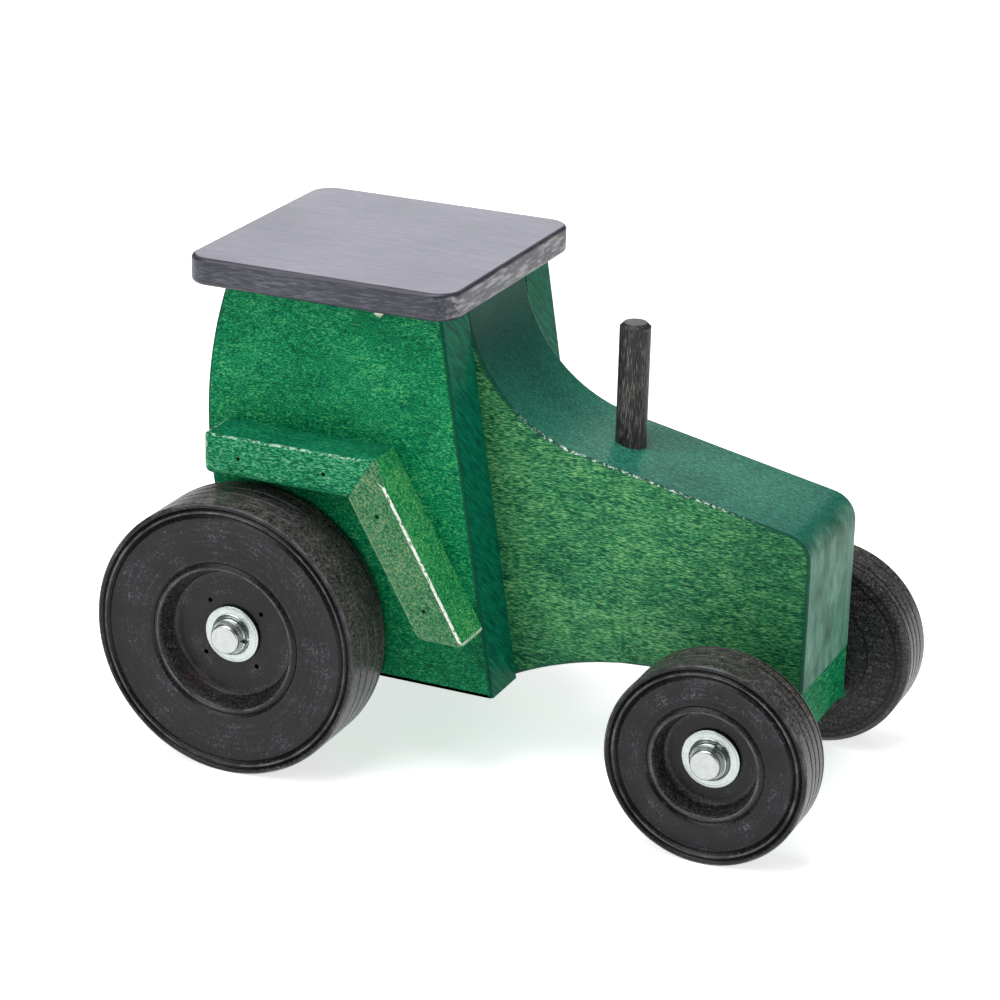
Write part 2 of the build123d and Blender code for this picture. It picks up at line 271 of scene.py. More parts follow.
# ---- materials ----
class Finish:
    """A material drawn in nodes; every pattern starts from the place on the piece, in millimetres."""

    def __init__(self, name, metallic=0.0, gloss=0.5):
        self.material = bpy.data.materials.new(name)
        self.material.use_nodes = True
        self.tree = self.material.node_tree
        self.shader = self.tree.nodes["Principled BSDF"]
        self.coords = self.tree.nodes.new("ShaderNodeTexCoord")
        self.place = self.vector("SCALE", self.coords.outputs["Object"], scale=1 / MM)
        self.shader.inputs["Metallic"].default_value = metallic
        self.shader.inputs["Specular IOR Level"].default_value = gloss

    def link(self, value, socket):
        if isinstance(value, bpy.types.NodeSocket):
            self.tree.links.new(value, socket)
        elif value is not None:
            socket.default_value = value

    def vector(self, operation, first, second=None, scale=None, output="Vector"):
        node = self.tree.nodes.new("ShaderNodeVectorMath")
        node.operation = operation
        self.link(first, node.inputs[0])
        self.link(second, node.inputs[1])
        if scale is not None:
            node.inputs["Scale"].default_value = scale
        return node.outputs[output]

    def distance(self, place, spot):
        return self.vector("DISTANCE", place, spot, output="Value")

    def math(self, operation, first, second=None):
        node = self.tree.nodes.new("ShaderNodeMath")
        node.operation = operation
        self.link(first, node.inputs[0])
        self.link(second, node.inputs[1])
        return node.outputs["Value"]

    def plus(self, first, second):
        return self.math("ADD", first, second)

    def times(self, first, second):
        return self.math("MULTIPLY", first, second)

    def rest(self, share):
        return self.math("SUBTRACT", 1.0, share)

    def swing(self, pattern, reach):
        """A pattern as a drift of up to half the reach, either way."""
        return self.times(self.math("SUBTRACT", pattern, 0.5), reach)

    def blend(self, first, first_share, second):
        return self.plus(self.times(first, first_share), self.times(second, 1 - first_share))

    def gap(self, value, at):
        return self.math("ABSOLUTE", self.math("SUBTRACT", value, at))

    def joined(self, x, y=None, z=None):
        node = self.tree.nodes.new("ShaderNodeCombineXYZ")
        for value, socket in zip((x, y, z), node.inputs):
            self.link(value, socket)
        return node.outputs["Vector"]

    def axis_share(self, vector, axis):
        node = self.tree.nodes.new("ShaderNodeSeparateXYZ")
        self.link(vector, node.inputs["Vector"])
        return node.outputs[axis]

    def turned(self, place, angles):
        node = self.tree.nodes.new("ShaderNodeMapping")
        self.link(place, node.inputs["Vector"])
        node.inputs["Rotation"].default_value = angles
        return node.outputs["Vector"]

    def noise(self, place, size, detail=2.0, rough=0.5, shift=(0, 0, 0)):
        """Noise whose specks are about size (x, y, z) millimetres."""
        scaled = self.vector("DIVIDE", place, size)
        moved = self.vector("ADD", scaled, shift)
        node = self.tree.nodes.new("ShaderNodeTexNoise")
        self.link(moved, node.inputs["Vector"])
        node.inputs["Scale"].default_value = 1.0
        node.inputs["Detail"].default_value = detail
        node.inputs["Roughness"].default_value = rough
        return node.outputs["Fac"]

    def bend(self, value, low, high, out_low=0.0, out_high=1.0):
        """Stretch the span from low to high over a new span, and hold the ends."""
        node = self.tree.nodes.new("ShaderNodeMapRange")
        self.link(value, node.inputs["Value"])
        node.inputs["From Min"].default_value = low
        node.inputs["From Max"].default_value = high
        node.inputs["To Min"].default_value = out_low
        node.inputs["To Max"].default_value = out_high
        return node.outputs["Result"]

    def ramp(self, value, *stops):
        node = self.tree.nodes.new("ShaderNodeValToRGB")
        self.link(value, node.inputs["Fac"])
        elements = node.color_ramp.elements
        for _ in range(len(stops) - len(elements)):
            elements.new(0.5)
        for element, (at, color) in zip(elements, stops):
            element.position = at
            element.color = (*color, 1.0)
        return node.outputs["Color"]

    def mix(self, share, first, second, mode="MIX"):
        node = self.tree.nodes.new("ShaderNodeMix")
        node.data_type = "RGBA"
        node.blend_type = mode
        self.link(share, node.inputs["Factor"])
        color_a, color_b, color_out = node.inputs[6], node.inputs[7], node.outputs[2]
        for socket, value in ((color_a, first), (color_b, second)):
            self.link((*value, 1.0) if isinstance(value, tuple) else value, socket)
        return color_out

    def lay(self, share, color, mode="MIX"):
        """Lay a colour over the surface so far, by its share."""
        self.surface = self.mix(share, self.surface, color, mode)

    def mark(self, spot, radius, color, share, pattern, ragged, solid):
        """A spot with a ragged rim, full within the solid part of its radius."""
        away = self.plus(self.distance(self.place, spot), self.swing(pattern, radius * ragged))
        self.lay(self.bend(away, radius * solid, radius * 1.1, share, 0.0), color)

    def facing(self, axis, low=0.6, high=0.85):
        """1 where the surface faces along the piece's axis, either way."""
        share = self.axis_share(self.coords.outputs["Normal"], axis)
        return self.bend(self.math("ABSOLUTE", share), low, high)

    def eased(self):
        node = self.tree.nodes.new("ShaderNodeAttribute")
        node.attribute_name = "eased"
        return node.outputs["Fac"]

    def done(self, roughness, height, depth_mm, strength):
        """Lead the surface, the roughness and the grain's height into the shader."""
        node = self.tree.nodes.new("ShaderNodeBump")
        node.inputs["Strength"].default_value = strength
        node.inputs["Distance"].default_value = depth_mm * MM
        self.link(height, node.inputs["Height"])
        self.link(node.outputs["Normal"], self.shader.inputs["Normal"])
        self.link(self.surface, self.shader.inputs["Base Color"])
        self.link(roughness, self.shader.inputs["Roughness"])
        return self.material


class StainedWood(Finish):
    """Stain that takes in flecks: its tones run from the dark between the fibres to the light fibres.

    fleck is a fleck's (length, width), and along is the grain's axis, turned about Y.  The methods
    lay one thing after another over the tones, so their order matters.  Every wood has its pores."""

    def __init__(self, name, tones, fleck, along="X", turn=0.0, mottle=28.0, mottle_share=0.16,
                 contrast=0.125, gloss=0.10, seed=0.0):
        super().__init__(name, gloss=gloss)
        self.fleck = fleck
        self.along = along
        self.shift = (seed, seed * 1.7, seed * 2.3)
        straight = self.turned(self.place, (0, turn, 0))
        wander = self.noise(straight, (60, 60, 60), 1.0, shift=self.shift)
        wander = self.vector("SCALE", self.joined(wander, wander, wander), scale=6.0)
        self.fibres = self.vector("ADD", straight, wander)
        self.fine = self.noise(self.fibres, self.speck(1, 1), 2.0, 0.6, self.shift)
        broad = self.noise(self.fibres, self.speck(4, 3.5), 2.0, 0.6, self.shift)
        self.cloud = self.noise(self.place, (mottle, mottle * 0.7, mottle * 0.7), 3.0, 0.5, self.shift)
        self.rub = self.noise(self.place, (1.3, 1.3, 1.3), 3.0, 0.7, self.shift)
        level = self.plus(self.blend(self.fine, 0.78, broad), self.swing(self.cloud, mottle_share))
        self.level = self.bend(level, 0.5 - contrast, 0.5 + contrast)
        self.surface = self.ramp(self.level, *tones)

    def speck(self, length_share, width_share):
        size = [self.fleck[1] * width_share] * 3
        size["XYZ".index(self.along)] = self.fleck[0] * length_share
        return tuple(size)

    def top(self, tones, rounded=False):
        """The tones of faces that look up, or on a rounded top of all that don't look sideways."""
        upward = self.rest(self.facing("Y")) if rounded else self.facing("Z")
        self.lay(upward, self.ramp(self.level, *tones))

    def darken_along(self, axis, start, full, share, sideways):
        """Darker along one axis, on the faces that look sideways or on all the others."""
        reach = self.plus(self.axis_share(self.place, axis), self.swing(self.cloud, 30))
        amount = self.bend(reach, start, full, 0.0, share)
        sides_share = self.facing("Y")
        amount = self.times(amount, sides_share if sideways else self.rest(sides_share))
        self.lay(amount, (0.06, 0.34, 0.36), "MULTIPLY")

    def ends(self, tones, grain=None, beyond=None):
        """The tones of faces that look along the grain: grain is their own (turn, speck size), and
        beyond is the place along the grain where they start."""
        level = self.level
        if grain:
            turn, size = grain
            across = self.noise(self.turned(self.place, (turn, 0, 0)), size, 3.0, 0.6, self.shift)
            level = self.bend(self.blend(across, 0.65, self.fine), 0.35, 0.65)
        share = self.facing(self.along)
        if beyond is not None:
            past = self.bend(self.axis_share(self.place, self.along), beyond - 4, beyond)
            share = self.times(share, past)
        self.lay(share, self.ramp(level, *tones))

    # Pale patches on the faces that look along the grain: partly scuffs and partly painted sheen.
    def end_scuffs_and_sheen(self, color):
        patch = self.noise(self.place, (2.5, 9, 1.6), 4.0, 0.65, self.shift)
        self.lay(self.times(self.facing(self.along), self.bend(patch, 0.48, 0.62)), color)

    def pores(self, share=0.35):
        pits = self.noise(self.fibres, self.speck(0.6, 0.5), 1.0, 0.5, self.shift)
        self.pits = self.bend(pits, 0.58, 0.70, 0.0, share)
        self.lay(self.pits, (0.2, 0.26, 0.24), "MULTIPLY")

    def dark_edges(self, color):
        self.lay(self.times(self.eased(), 0.8), color)

    def pale_edge_specks(self, color, amount, span=None):
        """Pale specks on the eased edges that don't look down, all along or between two X places."""
        not_down = self.bend(self.axis_share(self.coords.outputs["Normal"], "Z"), -0.25, 0.1)
        specks = self.bend(self.rub, 0.66 - amount * 0.3, 0.70 - amount * 0.2)
        worn = self.times(self.times(self.bend(self.eased(), 0.55, 0.95), specks), not_down)
        if span:
            low, high = span
            along_x = self.axis_share(self.place, "X")
            worn = self.times(worn, self.bend(along_x, low, low + 12))
            worn = self.times(worn, self.bend(along_x, high - 15, high, 1.0, 0.0))
        self.lay(worn, color)

    def far_edge_highlight(self, color, from_y, from_z):
        """A painted highlight: a faint pale line on the eased edges that lie left of one place and above
        another.
        """
        left = self.bend(self.axis_share(self.place, "Y"), from_y, from_y + 2)
        far = self.times(left, self.bend(self.axis_share(self.place, "Z"), from_z, from_z + 8))
        self.lay(self.times(self.times(self.bend(self.eased(), 0.5, 0.9), far), 0.6), color)

    def spot(self, at, radius, color, share):
        self.mark(at, radius, color, share, self.rub, ragged=1.2, solid=0.75)

    def dried(self, rough=(0.36, 0.52)):
        height = self.math("SUBTRACT", self.fine, self.times(self.pits, 0.8))
        return self.done(self.bend(self.fine, 0.3, 0.7, *rough), height, 0.05, 0.6)


dark_edge = (0.002, 0.045, 0.026)
panel_tones = [(0.0, (0.001, 0.050, 0.024)), (0.3, (0.001, 0.115, 0.045)), (0.6, (0.002, 0.180, 0.070)),
               (0.85, (0.013, 0.25, 0.085)), (1.0, (0.09, 0.32, 0.11))]


def core_stain():
    """Green, with painted sheen in a greyer, bluer tone on the hood, paler on the nose, with painted shade
    round the exhaust's foot and a painted shadow beside it.
    """
    tones = [(0.0, (0.002, 0.040, 0.022)), (0.3, (0.006, 0.105, 0.045)), (0.55, (0.024, 0.185, 0.070)),
             (0.78, (0.07, 0.27, 0.090)), (1.0, (0.18, 0.38, 0.15))]
    top_tones = [(0.0, (0.004, 0.055, 0.040)), (0.35, (0.009, 0.115, 0.075)), (0.7, (0.02, 0.18, 0.12)),
                 (1.0, (0.07, 0.28, 0.19))]
    nose_tones = [(0.0, (0.005, 0.05, 0.032)), (0.45, (0.032, 0.135, 0.088)), (1.0, (0.13, 0.28, 0.20))]
    pale = (0.50, 0.60, 0.52)
    exhaust_x = sum(corner.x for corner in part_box("exhaust")) / 2 / MM
    wood = StainedWood("green_stain_core", tones, fleck=(1.8, 0.29), contrast=0.115, seed=1.0)
    # painted sheen: a greyer, bluer copy of the tones on the hood and every face that doesn't look sideways
    wood.top(top_tones, rounded=True)
    wood.darken_along("Z", 68, 34, 0.45, sideways=True)
    wood.darken_along("X", 62, 92, 0.4, sideways=True)
    # painted shade: the sweep darker upwards towards the roof, on the faces that don't look sideways
    wood.darken_along("Z", 112, 140, 0.8, sideways=False)
    wood.darken_along("X", 92, 112, 0.6, sideways=False)
    wood.ends(nose_tones, grain=(0, (6, 7, 13)), beyond=nose_x / MM - 2)
    wood.pores()
    wood.dark_edges(dark_edge)
    # painted highlight: a faint pale line along the far upper edges of the hood and sweep
    wood.far_edge_highlight(pale, from_y=18, from_z=96)
    # wear: bare wood in specks on the worn edges
    wood.pale_edge_specks(pale, 0.55, span=(4, 88))
    # painted shade: a dark ring round the exhaust's foot, and a painted shadow of the exhaust just beside it
    wood.spot((exhaust_x, -7, 93), 6.0, (0.002, 0.04, 0.02), 0.55)
    wood.spot((exhaust_x + 10, 3, 91), 9.0, (0.004, 0.12, 0.06), 0.4)
    return wood.dried()


def panel_stain():
    """Green, with a smear of glue under the roof's edge."""
    edge_tones = [(0.0, (0.001, 0.045, 0.030)), (0.5, (0.001, 0.115, 0.062)), (1.0, (0.006, 0.20, 0.105))]
    glue = (0.66, 0.68, 0.55)
    wood = StainedWood("green_stain_panels", panel_tones, fleck=(1.0, 0.34), gloss=0.05, mottle=22, seed=4.0)
    # painted shade: the panels darker low down, where the wheels shade them
    wood.darken_along("Z", 64, 38, 0.4, sideways=True)
    wood.ends(edge_tones, grain=(radians(45), (3, 7, 0.8)))
    wood.pores()
    wood.dark_edges(dark_edge)
    wood.spot((-33, -41.5, roof_seat_z / MM - 1.5), 1.6, glue, 0.95)
    return wood.dried()


def level_bar_stain():
    tones = [(0.0, (0.001, 0.045, 0.022)), (0.35, (0.002, 0.13, 0.055)), (0.65, (0.012, 0.21, 0.09)),
             (1.0, (0.12, 0.36, 0.18))]
    top_tones = [(0.0, (0.001, 0.045, 0.022)), (0.5, (0.002, 0.125, 0.058)), (1.0, (0.02, 0.24, 0.11))]
    wood = StainedWood("green_stain_level_bars", tones, fleck=(1.3, 0.36), gloss=0.06, seed=7.0)
    wood.top(top_tones)
    wood.pores()
    # wear on the top edges, and in part a painted highlight: the lighter green of the lit bevel there
    wood.pale_edge_specks((0.34, 0.50, 0.38), 0.6)
    return wood.dried()


def sloping_bar_stain():
    """Worn paler than the level bar, with a fresher green on its front."""
    tones = [(0.0, (0.012, 0.060, 0.028)), (0.35, (0.028, 0.14, 0.060)), (0.65, (0.055, 0.20, 0.085)),
             (0.88, (0.13, 0.24, 0.12)), (1.0, (0.26, 0.23, 0.13))]
    front_tones = [(0.0, (0.003, 0.08, 0.024)), (0.35, (0.004, 0.19, 0.060)), (0.65, (0.018, 0.30, 0.09)),
                   (1.0, (0.22, 0.50, 0.18))]
    wood = StainedWood("green_stain_sloping_bars", tones, fleck=(0.8, 0.4), turn=-guard_slope, gloss=0.06,
                       seed=27.0)
    wood.ends(front_tones)
    wood.pores()
    # wear: bare wood in specks on the worn edges
    wood.pale_edge_specks((0.70, 0.72, 0.66), 1.0)
    return wood.dried()


def beam_stain():
    wood = StainedWood("green_stain_beam", panel_tones, fleck=(1.6, 0.5), along="Y", gloss=0.04, seed=9.0)
    wood.pores()
    wood.dark_edges(dark_edge)
    return wood.dried()


def roof_stain():
    """Black, with painted sheen greying the top, and pale patches on the ends that are partly scuffs and
    partly painted sheen.
    """
    tones = [(0.0, (0.005, 0.006, 0.011)), (0.5, (0.018, 0.020, 0.034)), (1.0, (0.07, 0.072, 0.095))]
    top_tones = [(0.0, (0.055, 0.055, 0.095)), (0.5, (0.115, 0.115, 0.175)), (1.0, (0.18, 0.175, 0.235))]
    wood = StainedWood("black_stain_roof", tones, fleck=(5.0, 0.5), mottle=40, mottle_share=0.3, gloss=0.5,
                       seed=11.0)
    # painted sheen: a paler grey-violet copy of the tones on the roof's top
    wood.top(top_tones)
    # pale patches on the roof's ends: partly scuffs and partly painted sheen
    wood.end_scuffs_and_sheen((0.26, 0.26, 0.27))
    wood.pores(0.2)
    wood.dark_edges((0.02, 0.02, 0.03))
    return wood.dried(rough=(0.3, 0.42))


def exhaust_stain():
    tones = [(0.0, (0.006, 0.006, 0.007)), (0.5, (0.022, 0.021, 0.023)), (0.8, (0.045, 0.043, 0.042)),
             (1.0, (0.13, 0.115, 0.095))]
    wood = StainedWood("black_stain_exhaust", tones, fleck=(3.2, 0.34), along="Z", gloss=0.25, seed=13.0)
    wood.pores()
    return wood.dried()


def bare_dowel():
    tones = [(0.0, (0.45, 0.30, 0.16)), (0.5, (0.62, 0.45, 0.27)), (1.0, (0.75, 0.6, 0.4))]
    wood = StainedWood("bare_dowel", tones, fleck=(5.0, 0.5), along="Y", seed=21.0)
    wood.pores()
    return wood.dried()


def wheel_stain(end, spot):
    """Black stain on turned wood: lathe rings round the hub, dense specks, a browner dusty tread."""
    face_tones = [(0.0, (0.001, 0.001, 0.002)), (0.45, (0.003, 0.003, 0.005)), (0.72, (0.012, 0.012, 0.015)),
                  (1.0, (0.065, 0.066, 0.072))]
    tread_tones = [(0.0, (0.004, 0.004, 0.004)), (0.4, (0.032, 0.031, 0.031)), (0.75, (0.095, 0.088, 0.082)),
                   (1.0, (0.26, 0.23, 0.20))]
    low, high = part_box(f"{end}_wheel_left")
    outer_y, rim_r = high.y / MM, (high.z - low.z) / 2 / MM
    bead_r, floor_r = wheel_shapes[end]["bead_r"], wheel_shapes[end]["floor_r"]
    wheel = Finish(f"black_stain_{end}_wheels", gloss=0.26)
    from_hub = wheel.vector("SUBTRACT", wheel.place, tuple(axle[end] / MM))
    radius = wheel.distance(wheel.vector("MULTIPLY", from_hub, (1, 0, 1)), (0, 0, 0))
    y = wheel.axis_share(wheel.place, "Y")
    off_middle = wheel.math("ABSOLUTE", y)
    rings = wheel.noise(wheel.joined(radius, y), (0.55, 0.7, 1), 3.0, 0.7)
    specks = wheel.noise(wheel.place, (0.8, 0.8, 0.8), 2.0, 0.7)
    grain = wheel.noise(wheel.place, (7.0, 2.5, 0.7), 3.0, 0.65)
    cloud = wheel.noise(wheel.place, (8, 8, 8), 3.0, 0.6)

    face = wheel.plus(wheel.blend(specks, 0.6, rings), wheel.swing(cloud, 0.4))
    face = wheel.ramp(wheel.bend(face, 0.36, 0.68), *face_tones)
    tread = wheel.ramp(wheel.bend(wheel.blend(specks, 0.62, grain), 0.34, 0.68), *tread_tones)
    wheel.surface = wheel.mix(browner_share(wheel, radius, off_middle, rim_r, floor_r), face, tread)

    # painted shade: dark thin lines in the rim and bead grooves and in the cuts across the tread
    grooves = [rim_r - groove for groove in rim_grooves] + [bead_r + bead_groove]
    cuts = [outer_y - cut for cut in wheel_shapes[end]["cuts"]]
    for value, places, half in ((radius, grooves, 0.5), (off_middle, cuts, 0.32)):
        for at in places:
            wheel.lay(wheel.bend(wheel.gap(value, at), half * 0.5, half, 0.85, 0.0), (0.003, 0.003, 0.003))
    outer_face = wheel.bend(off_middle, *outer_face_span, 0.0, 0.75)
    # painted highlights: pale thin lines on the ridge crests of the outer face, in patches
    ridge_highlight_patches = wheel.times(wheel.bend(cloud, 0.35, 0.65), outer_face)
    for crest in (rim_r - 0.4, rim_r - 3.0, bead_r - 1.1):
        line = wheel.times(wheel.bend(wheel.gap(radius, crest), 0.1, 0.4, 1.0, 0.0), ridge_highlight_patches)
        wheel.lay(line, (0.12, 0.12, 0.125))
    wheel.mark(*spot, pattern=specks, ragged=1.0, solid=0.6)
    height = wheel.plus(wheel.times(rings, 0.6), wheel.times(specks, 0.5))
    return wheel.done(wheel.bend(specks, 0.3, 0.7, 0.2, 0.44), height, 0.11, 0.8)


def browner_share(wheel, radius, off_middle, rim_r, floor_r):
    """All of the tread is browner, nearly half of the inner face, and a little of the recess's wall."""
    tread = wheel.rest(wheel.facing("Y", 0.25, 0.7))
    tread = wheel.times(tread, wheel.bend(radius, rim_r - 2.0, rim_r - 0.8))
    inner_face = wheel.bend(off_middle, *inner_face_span, 0.45, 0.0)
    wall = wheel.times(wheel.bend(radius, floor_r - 1.2, floor_r),
                       wheel.bend(radius, floor_r + 3.2, floor_r + 4.4, 1.0, 0.0))
    return wheel.math("MAXIMUM", tread, wheel.math("MAXIMUM", inner_face, wheel.times(wall, 0.3)))


def metal(name, color, rough, scratch, seed):
    """Bare metal, a little duller in clouds, with fine scratches of one size."""
    finish = Finish(name, metallic=1.0)
    cloud = finish.noise(finish.place, (2.5, 2.5, 2.5), 3.0, 0.6, (seed, 0, 0))
    fine = finish.noise(finish.place, (scratch, scratch, scratch), 2.0, 0.6, (seed, 0, 0))
    finish.surface = finish.ramp(cloud, (0.3, tuple(c * 0.86 for c in color)), (0.7, color))
    return finish.done(finish.bend(fine, 0.3, 0.7, rough * 0.8, rough * 1.2), fine, 0.002, 0.12)


core_wood = core_stain()
panel_wood = panel_stain()
level_wood = level_bar_stain()
sloping_wood = sloping_bar_stain()
beam_wood = beam_stain()
roof_wood = roof_stain()
exhaust_wood = exhaust_stain()
dowel_wood = bare_dowel()
warm_patch = ((rear_axle.x / MM - 15, -60.8, rear_axle.z / MM - 19), 6.0, (0.03, 0.016, 0.012), 0.4)
green_smudge = ((front_axle.x / MM + 11, 41.0, front_axle.z / MM - 13.5), 2.2, (0.004, 0.12, 0.05), 0.8)
wheel_woods = {"rear": wheel_stain("rear", warm_patch), "front": wheel_stain("front", green_smudge)}
rod_steel = metal("bright_steel_rod", (0.46, 0.48, 0.48), 0.3, 0.3, seed=2.0)
cap_zinc = metal("zinc_plate", (0.47, 0.52, 0.51), 0.3, 0.8, seed=5.0)
brad_steel = metal("dull_wire", (0.2, 0.19, 0.18), 0.5, 0.3, seed=8.0)


# ---- core board and cab panels ----
def cab_rear_x(z):
    """The cab's rear edge: an arc that a gentle reverse curve carries on to the foot."""
    def bulge(height):
        return cab_bulge_r - sqrt(cab_bulge_r**2 - (height - cab_widest_z) ** 2)

    widest = rear_axle.x - cab_rear_top - bulge(roof_seat_z)
    if z >= cab_arc_end_z:
        return widest + bulge(z)
    foot = Vector((rear_axle.x - cab_rear_bottom, sill_z))
    start = Vector((widest + bulge(cab_arc_end_z), cab_arc_end_z))
    below_widest = cab_widest_z - cab_arc_end_z
    heading = Vector((below_widest, -sqrt(cab_bulge_r**2 - below_widest**2)))
    heading.normalize()
    chord = foot - start
    off = Vector((-heading.y, heading.x))
    radius = chord.length_squared / (2 * chord.dot(off))
    middle = start + off * radius
    reach = sqrt(max(radius**2 - (z - middle.y) ** 2, 0))
    return middle.x + (reach if radius < 0 else -reach)


def foot_x(z, inset):
    """The rear edge with the foot's rounded corner."""
    x = cab_rear_x(z) + inset
    over = z - sill_z
    if over < cab_foot_round:
        x += cab_foot_round - sqrt(cab_foot_round**2 - (cab_foot_round - over) ** 2)
    return x


def foot_heights(steps=8):
    return [sill_z + cab_foot_round * (1 - cos(pi / 2 * i / steps)) for i in range(1, steps + 1)]


def belly_heights():
    """The core's heights from just under the belly down to the sill."""
    below_belly = [belly_z - MM * step for step in (1, 2, 3, 4)]
    heights = [z for z in foot_heights() + below_belly if sill_z < z < belly_z - HAIR]
    return sorted(heights, reverse=True) + [sill_z]


down_hood = Vector((cos(hood_slope), -sin(hood_slope)))
off_hood = Vector((sin(hood_slope), cos(hood_slope)))
hood_end = Vector((nose_x, belly_z + nose_h))
cab_corner = Vector((rear_axle.x + cab_front_top, roof_seat_z))
corner_over_hood = (cab_corner - hood_end).dot(off_hood)
sweep_run = sqrt(hood_sweep_r**2 - (hood_sweep_r - corner_over_hood) ** 2)
sweep_start = hood_end + down_hood * ((cab_corner - hood_end).dot(down_hood) + sweep_run)


def hood_profile(nose_steps=10, sweep_steps=24):
    """(z, front x) from the nose's rounded top, up the hood and its sweep, to the roof."""
    turn = pi / 2 - hood_slope
    tangent = nose_round * tan(turn / 2)
    middle = Vector((nose_x - nose_round, hood_end.y - tangent))
    points = []
    for i in range(nose_steps + 1):
        a = turn * i / nose_steps
        points.append(middle + nose_round * Vector((cos(a), sin(a))))
    points.append((points[-1] + sweep_start) / 2)
    full = asin(sweep_run / hood_sweep_r)
    middle = sweep_start + off_hood * hood_sweep_r
    for i in range(sweep_steps + 1):
        a = full * i / sweep_steps
        points.append(middle - hood_sweep_r * (off_hood * cos(a) + down_hood * sin(a)))
    return [(p.y, p.x) for p in points]


def make_core():
    """The core is drawn up from the belly to the roof, and then down from the belly to the sill."""
    arch_end_x = front_axle.x - belly_arch_to_axle
    under_cab_x = 8 * MM  # the belly's edges behind this are hidden between the panels

    def rear_x(z):
        return foot_x(z, core_rear_inset)

    def arch_x(z):
        rise = belly_z - z
        return arch_end_x - sqrt(2 * belly_arch_r * rise - rise**2)

    def weight(middle, along):
        """Its sides' edges are eased ahead of the cab, and so is the nose's lower edge."""
        if abs(abs(middle.y) - core_half_t) < HAIR:
            before_cab = middle.x > cab_corner.x and (middle.z > belly_z - HAIR or middle.x > under_cab_x)
            return float(before_cab)
        return float(middle.x > nose_x - HAIR and middle.z < belly_z + MM)

    rungs = [(belly_z, rear_x(belly_z), nose_x)] + [(z, rear_x(z), x) for z, x in hood_profile()]
    core = ladder("core_board", (-core_half_t, core_half_t), rungs)
    bpy.ops.object.mode_set(mode="EDIT")
    pick_faces(core, lambda at, normal: normal.z < -0.99)
    bpy.ops.mesh.bisect(plane_co=(arch_end_x, 0, 0), plane_no=(1, 0, 0))
    pick_faces(core, lambda at, normal: normal.z < -0.99 and at.x < arch_end_x)
    climb([(belly_z, rear_x(belly_z), arch_end_x)] + [(z, rear_x(z), arch_x(z)) for z in belly_heights()])
    bpy.ops.object.mode_set(mode="OBJECT")
    tidy_mesh(core)
    ease_edges(core, 1.3 * MM, weight)
    smooth(core)
    seat(core, "body", ["core"], core_wood)


def make_panel(side_name, side):
    low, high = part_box(f"cab_panel_{side_name}")
    front_foot_x = high.x
    outer_y = high.y if side > 0 else low.y
    lean = (cab_corner.x - front_foot_x) / (roof_seat_z - sill_z)

    def weight(middle, along):
        return float(abs(middle.y - outer_y) < HAIR and middle.z < roof_seat_z - HAIR)

    over_foot, steps = sill_z + cab_foot_round, 24
    heights = [sill_z] + foot_heights()
    heights += [over_foot + (roof_seat_z - over_foot) * i / steps for i in range(1, steps + 1)]
    rungs = [(z, foot_x(z, 0), front_foot_x + lean * (z - sill_z)) for z in heights]
    panel = ladder(f"cab_side_board_{side_name}", (low.y, high.y), rungs)
    ease_edges(panel, 1.2 * MM, weight)
    smooth(panel)
    seat(panel, "body", [f"cab_panel_{side_name}"], panel_wood)


# ---- roof, exhaust and front beam ----
def box_piece(name, low, high):
    deselect()
    bpy.ops.mesh.primitive_cube_add(size=1, location=(low + high) / 2)
    bpy.context.object.scale = high - low
    return started(name)


def round_corners(piece, radius, segments=10):
    """Round the upright corners of a block in plan."""
    corners = piece.data.vertices

    def upright(edge):
        a, b = (corners[i].co for i in edge.vertices)
        return abs((b - a).normalized().z) > 0.99

    take(piece)
    pick(piece, "edges", upright)
    bpy.ops.object.mode_set(mode="EDIT")
    bpy.ops.mesh.select_mode(type="EDGE")
    bpy.ops.mesh.bevel(offset=radius, segments=segments, affect="EDGES")
    bpy.ops.object.mode_set(mode="OBJECT")


def make_roof():
    roof = box_piece("roof_board", *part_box("roof"))
    round_corners(roof, 8 * MM)
    ease_edges(roof, 1.4 * MM, lambda middle, along: float(abs(along.z) < 0.5))
    smooth(roof)
    seat(roof, "body", ["roof"], roof_wood)


def make_exhaust():
    low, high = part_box("exhaust")
    deselect()
    bpy.ops.mesh.primitive_cylinder_add(
        vertices=64, radius=(high.x - low.x) / 2, depth=high.z - low.z, location=(low + high) / 2
    )
    exhaust = started("exhaust_dowel")
    ease_edges(exhaust, 1.3 * MM, lambda middle, along: float(middle.z > high.z - HAIR), segments=1)
    smooth(exhaust, 25)
    seat(exhaust, "body", ["exhaust"], exhaust_wood)


def make_beam():
    beam = box_piece("front_axle_block", beam_low, beam_high)
    ease_edges(beam, 1.6 * MM, lambda middle, along: float(middle.z < beam_high.z - HAIR))
    smooth(beam)
    seat(beam, "body", ["front_axle_beam"], beam_wood)


# ---- mudguards ----
def cut_off(piece, point, normal):
    """Saw a piece through a point and drop what lies on the normal's side."""
    take(piece)
    bpy.ops.object.mode_set(mode="EDIT")
    bpy.ops.mesh.select_all(action="SELECT")
    bpy.ops.mesh.bisect(plane_co=point, plane_no=normal, use_fill=True, clear_outer=True)
    bpy.ops.object.mode_set(mode="OBJECT")


